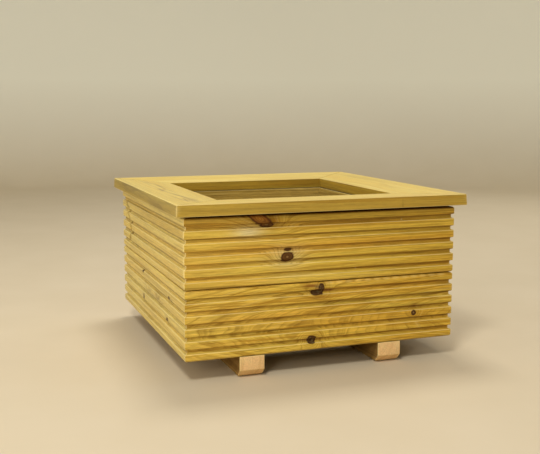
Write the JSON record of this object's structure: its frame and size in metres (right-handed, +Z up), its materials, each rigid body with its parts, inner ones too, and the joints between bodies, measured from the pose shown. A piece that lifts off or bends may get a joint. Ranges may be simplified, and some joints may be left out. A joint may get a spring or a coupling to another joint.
{
  "type": "wooden planter",
  "caption": "Square garden planter of grooved decking boards with mitred corners, under a flat mitred rim that falls inwards, with a slatted floor and bearers underneath.",
  "frame": {"origin": "on the ground under the middle of the box, in the plane of the bearers' undersides", "axes": "+Z up, -Y towards the front of the box, where the bearers' ends show, +X to the right seen from the front"},
  "size_m": [0.5398, 0.5398, 0.3034],
  "materials": {
    "decking": "planed, pressure treated",
    "planed_board": "planed smooth",
    "sawn_batten": "rough sawn",
    "floor_slat": "sawn",
    "bearer": "sawn",
    "screw_steel": "zinc plated"
  },
  "bodies": {
    "root": {"front_board_1": "decking", "front_board_2": "decking", "front_rim_board": "planed_board", "front_top_batten": "sawn_batten", "front_base_batten": "sawn_batten", "right_board_1": "decking", "right_board_2": "decking", "right_rim_board": "planed_board", "right_top_batten": "sawn_batten", "right_base_batten": "sawn_batten", "back_board_1": "decking", "back_board_2": "decking", "back_rim_board": "planed_board", "back_top_batten": "sawn_batten", "back_base_batten": "sawn_batten", "left_board_1": "decking", "left_board_2": "decking", "left_rim_board": "planed_board", "left_top_batten": "sawn_batten", "left_base_batten": "sawn_batten", "front_left_post": "sawn_batten", "front_right_post": "sawn_batten", "back_right_post": "sawn_batten", "back_left_post": "sawn_batten", "floor_slat_1": "floor_slat", "floor_slat_2": "floor_slat", "floor_slat_3": "floor_slat", "floor_slat_4": "floor_slat", "left_bearer": "bearer", "right_bearer": "bearer", "wall_screws": "screw_steel", "top_batten_screws": "screw_steel", "base_batten_screws": "screw_steel", "rim_screws": "screw_steel", "bearer_screws": "screw_steel"}
  },
  "joints": []
}
